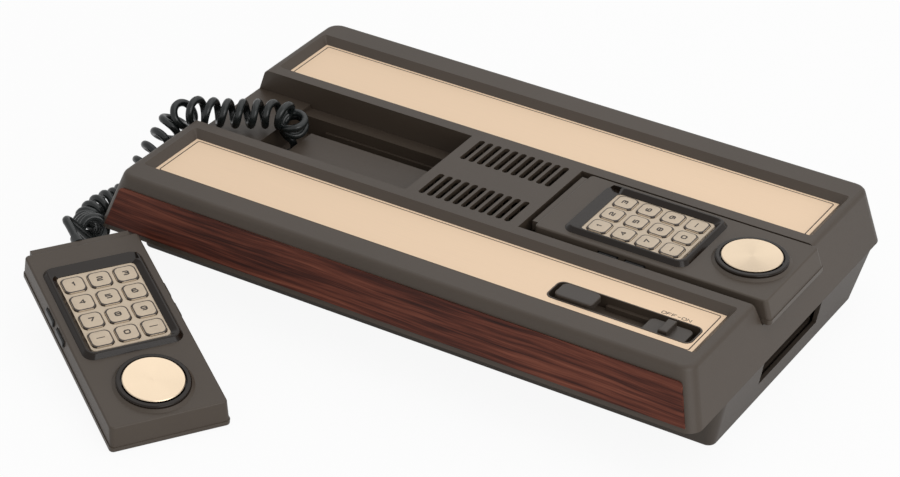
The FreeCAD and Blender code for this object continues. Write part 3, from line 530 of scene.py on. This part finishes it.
black_plastic = moulded_plastic("black_plastic", (0.014, 0.014, 0.014), (0.022, 0.022, 0.022),
                                2000.0, 0.00005, (0.34, 0.45))
foot_rubber = moulded_plastic("foot_rubber", (0.016, 0.016, 0.016), (0.026, 0.025, 0.024),
                              1200.0, 0.00010, (0.72, 0.85))
dress(plain_metal("nickel", (0.74, 0.73, 0.70), (0.16, 0.30)), "aerial_jack")
dress(plain_metal("zinc", (0.60, 0.60, 0.58), (0.28, 0.42)), "housing_screws")
dress(black_plastic, "channel_switch", "cartridge_socket", "left_disc_pivot", "right_disc_pivot")
dress(black_vinyl, "cord_bushings", "left_cord_relief")
dress(foot_rubber, "rubber_feet")


# Inside the console
# Circuit board with its chips, and the mains transformer. Both show only through the cartridge bay.
board_green = (0.030, 0.075, 0.022)
track_green = (0.060, 0.130, 0.040)
track_pattern = (300.0, 60.0, 1.0)


def board_laminate():
    material, tree, shader = new_material("board_laminate")
    tracks = noise(tree, stretch(tree, object_coordinates(tree), track_pattern), 1.0, 0.0)
    green = ramp(tree, tracks, [(0.45, board_green), (0.52, track_green)])
    tree.links.new(green, shader.inputs["Base Color"])
    shader.inputs["Roughness"].default_value = 0.4
    return material


dress(board_laminate(), "main_board")
dress(plain_metal("laminations", (0.16, 0.15, 0.15), (0.5, 0.7)), "power_transformer")


# Printed lettering
# Plain squarish digits and letters, as ribbons of ink. Each glyph is one or more strokes on a square
# of side 1, and all strokes have the same width.
ink_brown = (0.045, 0.032, 0.024)
ink_thickness = 0.00003
ink_gap = 0.00001
word_place = (0.1535, -0.0717)
letter_size = (0.0023, 0.0024)
letter_spacing = 0.0031
letter_stroke = 0.00042
round_stroke = [(0.2, 0), (0.8, 0), (1, 0.2), (1, 0.8), (0.8, 1), (0.2, 1), (0, 0.8), (0, 0.2), (0.2, 0)]
glyphs = {
    "0": [round_stroke],
    "1": [[(0.3, 0.78), (0.62, 1), (0.62, 0)]],
    "2": [[(0, 0.8), (0.2, 1), (0.8, 1), (1, 0.85), (1, 0.62), (0.8, 0.5), (0.2, 0.42), (0, 0.25), (0, 0),
           (1, 0)]],
    "3": [[(0, 1), (0.8, 1), (1, 0.85), (1, 0.65), (0.85, 0.5), (0.3, 0.5)],
          [(0.85, 0.5), (1, 0.35), (1, 0.15), (0.8, 0), (0, 0)]],
    "4": [[(0.75, 0), (0.75, 1), (0, 0.3), (1.05, 0.3)]],
    "5": [[(1, 1), (0, 1), (0, 0.56), (0.8, 0.56), (1, 0.42), (1, 0.15), (0.8, 0), (0, 0)]],
    "6": [[(0.9, 1), (0.2, 1), (0, 0.8), (0, 0.2), (0.2, 0), (0.8, 0), (1, 0.15), (1, 0.42), (0.8, 0.56),
           (0, 0.56)]],
    "7": [[(0, 1), (1, 1), (0.4, 0)]],
    "8": [round_stroke, [(0, 0.5), (1, 0.5)]],
    "9": [[(0.1, 0), (0.8, 0), (1, 0.2), (1, 0.8), (0.8, 1), (0.2, 1), (0, 0.85), (0, 0.58), (0.2, 0.44),
           (1, 0.44)]],
    "F": [[(0, 0), (0, 1), (1, 1)], [(0, 0.5), (0.8, 0.5)]],
    "N": [[(0, 0), (0, 1), (1, 0), (1, 1)]],
    "O": [round_stroke],
    "-": [[(0.1, 0.5), (0.9, 0.5)]],
}


def ink():
    material, tree, shader = new_material("print_ink")
    tone = noise(tree, object_coordinates(tree), 500.0)
    tree.links.new(two_tone(tree, tone, shade(ink_brown, 0.8), ink_brown), shader.inputs["Base Color"])
    shader.inputs["Roughness"].default_value = 0.5
    return material


print_ink = ink()


def ribbon(shape, points, width):
    """Adds a flat band along a stroke, with mitred corners; one that ends at its start is closed."""
    closed = (points[0] - points[-1]).length < 1e-9
    if closed:
        points = points[:-1]
    sides = []
    for index, point in enumerate(points):
        before = points[index - 1] if index or closed else None
        after = points[(index + 1) % len(points)] if index + 1 < len(points) or closed else None
        runs = []
        if before:
            runs.append((point - before).normalized())
        if after:
            runs.append((after - point).normalized())
        mean = sum(runs, Vector((0, 0))).normalized()
        reach = width / 2 / max(0.5, mean.dot(runs[0]))
        normal = Vector((-mean.y, mean.x)) * reach
        sides.append([shape.verts.new((*(point + normal * side), 0.0)) for side in (-1, 1)])
    following = sides[1:] + sides[:1] if closed else sides[1:]
    for (right, left), (next_right, next_left) in zip(sides, following):
        shape.faces.new((right, next_right, next_left, left))


def printed_word(name, word, size, spacing, stroke, place, body):
    """Ink letters round a place whose own x is to the right, y up and z off the surface."""
    width, height = size
    shape = bmesh.new()
    for index, letter in enumerate(word):
        left = (index - (len(word) - 1) / 2) * spacing - width / 2
        for points in glyphs[letter]:
            ribbon(shape, [Vector((left + x * width, (y - 0.5) * height)) for x, y in points], stroke)
    bmesh.ops.recalc_face_normals(shape, faces=shape.faces)
    solid = bmesh.ops.extrude_face_region(shape, geom=shape.faces[:])
    lifted = [part for part in solid["geom"] if isinstance(part, bmesh.types.BMVert)]
    bmesh.ops.translate(shape, verts=lifted, vec=(0.0, 0.0, ink_thickness))
    bmesh.ops.recalc_face_normals(shape, faces=shape.faces)
    mesh = bpy.data.meshes.new(name)
    shape.to_mesh(mesh)
    shape.free()
    mesh.transform(place)
    mesh.materials.append(print_ink)
    piece = add_object(name, mesh)
    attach(piece, body)


switch_words = Matrix.Translation((*word_place, front_high.z + ink_gap))
printed_word("off_on", "OFF-ON", letter_size, letter_spacing, letter_stroke, switch_words, "console")


# Controllers
# Both are moulded in the console's brown-grey plastic with a satin skin. The frame round the keys and
# the ring round the disc are polished; their near-black colour is painted shade and painted reflection.
key_order = ["1", "2", "3", "4", "5", "6", "7", "8", "9", "clear", "0", "enter"]
joint_places = {joint["name"]: Vector(joint["pos_m"]) for joint in frame["joints"]}
frame_middle = 0.0217
frame_half = (0.0393, 0.0296)
frame_corner = 0.0065
ring_radius = 0.0210
case_dark = (0.072, 0.056, 0.043)
case_light = (0.080, 0.063, 0.049)
# Near-black painted on the frame and the ring: painted shade and painted reflection, not their plastic's
# colour.
painted_shade_near_black = (0.013, 0.008, 0.005)
polish = 0.5
case_grain = 2600.0


def controller_frame(side):
    """Matrix of a controller's own axes, with its origin on the top of key 2, and its key pitches."""
    first, second, third, fourth = (joint_places[f"{side}_key_{name}_press"] for name in "1234")
    along = (fourth - first).normalized()
    across = (third - first).normalized()
    up = along.cross(across)
    turn = Matrix((along, across, up)).transposed().to_4x4()
    pitch = ((fourth - first).length, (second - first).length)
    return Matrix.Translation(second) @ turn, pitch


def own_axes(tree, place):
    """Coordinates in the axes of a controller."""
    turn = tuple(place.to_euler())
    return stretch(tree, object_coordinates(tree), (1, 1, 1), place.to_translation(), turn, "TEXTURE")


def case_plastic(side, place):
    material, tree, shader = new_material(f"{side}_case_plastic")
    local = own_axes(tree, place)
    x, y = flat_parts(tree, local)
    disc_middle = (place.inverted() @ joint_places[f"{side}_disc_tilt_sideways"]).x
    frame_x = math_node(tree, "SUBTRACT", x, frame_middle)
    ring_x = math_node(tree, "SUBTRACT", x, disc_middle)
    from_frame = rounded_distance(tree, frame_x, y, *frame_half, frame_corner)
    from_ring = rounded_distance(tree, ring_x, y, ring_radius, ring_radius, ring_radius)
    # Mask of the frame and the ring: real polish lowers the roughness there, and painted shade darkens
    # the colour.
    polish_and_painted_shade_mask = math_node(tree, "LESS_THAN", math_node(tree, "MINIMUM", from_frame, from_ring), 0.0)
    grain = tree.nodes.new("ShaderNodeGroup")
    grain.node_tree = moulded_grain
    grain.inputs["Size"].default_value = case_grain
    tree.links.new(local, grain.inputs["Vector"])
    satin = two_tone(tree, grain.outputs["Drift"], case_dark, case_light)
    tree.links.new(mix_colour(tree, polish_and_painted_shade_mask, satin, painted_shade_near_black), shader.inputs["Base Color"])
    rough = spread(tree, grain.outputs["Height"], 0.32, 0.40)
    left_rough = math_node(tree, "SUBTRACT", 1.0, math_node(tree, "MULTIPLY", polish_and_painted_shade_mask, polish))
    tree.links.new(math_node(tree, "MULTIPLY", left_rough, rough), shader.inputs["Roughness"])
    shader.inputs["Specular IOR Level"].default_value = 0.3
    bump(tree, shader, grain.outputs["Height"], 0.00004, 0.5)
    return material


controllers = {side: controller_frame(side) for side in ("left", "right")}
for side, (place, pitch) in controllers.items():
    dress(case_plastic(side, place), f"{side}_upper_case", f"{side}_lower_case")


# Keypads
# A gold printed film lies over twelve soft keys in each controller. A brown band is printed round each
# key, square outside and rounder inside. Ten keys have a digit, and the other two a plain bar.
film_gold = (0.640, 0.520, 0.385)
band_outer = (0.00615, 0.00645, 0.0024)
band_inner = (0.00545, 0.00575, 0.0030)
crown_edge = (-0.0024, 0.0006)
crown_height = 0.00022
digit_size = (0.0031, 0.0027)
digit_stroke = 0.00085
digit_shift = 0.0004
bar_size = (0.0062, 0.002)
bar_stroke = 0.0006


def cell_offset(tree, value, pitch, first, last):
    """Distance from the middle of the nearest cell of a row of cells."""
    cell = math_node(tree, "ROUND", math_node(tree, "DIVIDE", value, pitch))
    cell = math_node(tree, "MINIMUM", math_node(tree, "MAXIMUM", cell, first), last)
    return math_node(tree, "SUBTRACT", value, math_node(tree, "MULTIPLY", cell, pitch))


def key_film(side, place, pitch):
    """The film of one keypad: gold, with its brown bands and the soft rise of each key."""
    material, tree, shader = new_material(f"{side}_key_film")
    local = own_axes(tree, place)
    x, y = flat_parts(tree, local)
    along = cell_offset(tree, x, pitch[0], 0, 3)
    across = cell_offset(tree, y, pitch[1], -1, 1)
    outer = rounded_distance(tree, along, across, *band_outer)
    inner = rounded_distance(tree, along, across, *band_inner)
    band = math_node(tree, "MULTIPLY", math_node(tree, "LESS_THAN", outer, 0.0),
                     math_node(tree, "GREATER_THAN", inner, 0.0))
    soft = noise(tree, local, 160.0, 3.0)
    gold = two_tone(tree, soft, shade(film_gold, 0.92), film_gold)
    tree.links.new(mix_colour(tree, band, gold, ink_brown), shader.inputs["Base Color"])
    tree.links.new(spread(tree, soft, 0.30, 0.42), shader.inputs["Roughness"])
    crown = tree.nodes.new("ShaderNodeMapRange")
    crown.inputs["From Min"].default_value = crown_edge[0]
    crown.inputs["From Max"].default_value = crown_edge[1]
    crown.inputs["To Min"].default_value = 1.0
    crown.inputs["To Max"].default_value = 0.0
    crown.interpolation_type = "SMOOTHSTEP"
    tree.links.new(inner, crown.inputs["Value"])
    bump(tree, shader, crown.outputs["Result"], crown_height, 1.0)
    return material


reading = Matrix(((0, -1, 0), (1, 0, 0), (0, 0, 1))).to_4x4()
for side, (place, pitch) in controllers.items():
    film = key_film(side, place, pitch)
    dress(film, f"{side}_key_sheet")
    for index, name in enumerate(key_order):
        body = f"{side}_key_{name}"
        dress(film, body)
        row, column = divmod(index, 3)
        middle = Matrix.Translation((row * pitch[0] - digit_shift, (column - 1) * pitch[1], ink_gap))
        key_top = place @ middle @ reading
        if len(name) == 1:
            printed_word(f"{body}_digit", name, digit_size, 0.0, digit_stroke, key_top, body)
        else:
            printed_word(f"{body}_bar", "-", bar_size, 0.0, bar_stroke, key_top, body)


# Side buttons
# Two black rocker keys in each side wall of both controllers.
side_plastic = moulded_plastic("side_plastic", (0.012, 0.012, 0.012), (0.020, 0.020, 0.020),
                               1800.0, 0.00004, (0.28, 0.36))
for side in controllers:
    for edge in ("front", "rear"):
        dress(side_plastic, *(f"{side}_{edge}_side_button_{number}" for number in (1, 2)))


# Direction discs
# Gold anodised aluminium, turned on a lathe: the tool marks run in circles round the middle.
disc_gold = (0.840, 0.680, 0.500)
tool_marks = 2600.0


def spun_gold(side, centre, place):
    """Turned metal: its noise and its tangent follow circles round the centre."""
    material, tree, shader = new_material(f"{side}_spun_gold")
    local = stretch(tree, object_coordinates(tree), (1, 1, 1), centre, tuple(place.to_euler()), "TEXTURE")
    x, y = flat_parts(tree, local)
    flat = tree.nodes.new("ShaderNodeCombineXYZ")
    tree.links.new(x, flat.inputs["X"])
    tree.links.new(y, flat.inputs["Y"])
    radius = tree.nodes.new("ShaderNodeVectorMath")
    radius.operation = "LENGTH"
    tree.links.new(flat.outputs["Vector"], radius.inputs[0])
    joined = tree.nodes.new("ShaderNodeCombineXYZ")
    tree.links.new(radius.outputs["Value"], joined.inputs["X"])
    rings = noise(tree, joined.outputs["Vector"], tool_marks, 2.0)
    tree.links.new(two_tone(tree, rings, shade(disc_gold, 0.95), disc_gold), shader.inputs["Base Color"])
    tree.links.new(spread(tree, rings, 0.28, 0.38), shader.inputs["Roughness"])
    shader.inputs["Metallic"].default_value = 1.0
    shader.inputs["Anisotropic"].default_value = 0.7
    across = tree.nodes.new("ShaderNodeVectorMath")
    across.operation = "CROSS_PRODUCT"
    across.inputs[0].default_value = place.to_3x3() @ Vector((0, 0, 1))
    from_centre = tree.nodes.new("ShaderNodeVectorMath")
    from_centre.operation = "SUBTRACT"
    tree.links.new(object_coordinates(tree), from_centre.inputs[0])
    from_centre.inputs[1].default_value = centre
    tree.links.new(from_centre.outputs["Vector"], across.inputs[1])
    tree.links.new(across.outputs["Vector"], shader.inputs["Tangent"])
    bump(tree, shader, rings, 0.00002, 0.3)
    return material


for side, (place, pitch) in controllers.items():
    centre = joint_places[f"{side}_disc_tilt_sideways"]
    dress(spun_gold(side, centre, place), f"{side}_direction_disc")


# Floor and light
# A white floor that runs to the horizon, two large soft lamps and an even white world. The camera sees
# floor and world as white and glossy surfaces see them as pale, while the object is lit at a plain level.
# The levels are for plain, camera and glossy rays.
floor_grey = (0.90, 0.90, 0.90)
floor_half_side = 12.0
floor_levels = (0.0, 0.92, 0.4)
sky_levels = (0.55, 1.0, 0.72)


def ray_level(tree, plain, camera, glossy):
    """A level for plain rays, with more for the camera's and for glossy ones."""
    paths = tree.nodes.new("ShaderNodeLightPath")
    seen = math_node(tree, "MULTIPLY", paths.outputs["Is Camera Ray"], camera - plain)
    mirrored = math_node(tree, "MULTIPLY", paths.outputs["Is Glossy Ray"], glossy - plain)
    return math_node(tree, "ADD", math_node(tree, "ADD", seen, mirrored), plain)


def floor_material():
    material, tree, shader = new_material("floor")
    shader.inputs["Base Color"].default_value = (*floor_grey, 1.0)
    shader.inputs["Roughness"].default_value = 0.9
    white = tree.nodes.new("ShaderNodeEmission")
    mix = tree.nodes.new("ShaderNodeMixShader")
    tree.links.new(ray_level(tree, *floor_levels), mix.inputs["Fac"])
    tree.links.new(shader.outputs["BSDF"], mix.inputs[1])
    tree.links.new(white.outputs["Emission"], mix.inputs[2])
    tree.links.new(mix.outputs["Shader"], tree.nodes["Material Output"].inputs["Surface"])
    return material


floor_mesh = bpy.data.meshes.new("floor")
floor_shape = bmesh.new()
bmesh.ops.create_grid(floor_shape, x_segments=1, y_segments=1, size=floor_half_side)
floor_shape.to_mesh(floor_mesh)
floor_shape.free()
floor_mesh.materials.append(floor_material())
add_object("floor", floor_mesh)


def soft_lamp(name, place, size, power):
    """A rectangular lamp that shines at the object's middle."""
    data = bpy.data.lights.new(name, "AREA")
    data.shape = "RECTANGLE"
    data.size, data.size_y = size
    data.energy = power
    lamp = add_object(name, data)
    aim = (-Vector(place)).to_track_quat("-Z", "Y")
    lamp.matrix_world = Matrix.Translation(place) @ aim.to_matrix().to_4x4()


soft_lamp("lamp_over", (0.2, 0.6, 1.6), (2.6, 2.0), 9.5)
soft_lamp("lamp_right", (1.5, -0.7, 0.8), (1.2, 1.2), 9.0)

world = bpy.data.worlds.new("world")
scene.world = world
world.use_nodes = True
sky = world.node_tree.nodes["Background"]
sky.inputs["Color"].default_value = (1.0, 1.0, 1.0, 1.0)
world.node_tree.links.new(ray_level(world.node_tree, *sky_levels), sky.inputs["Strength"])
scene.view_settings.view_transform = "Standard"
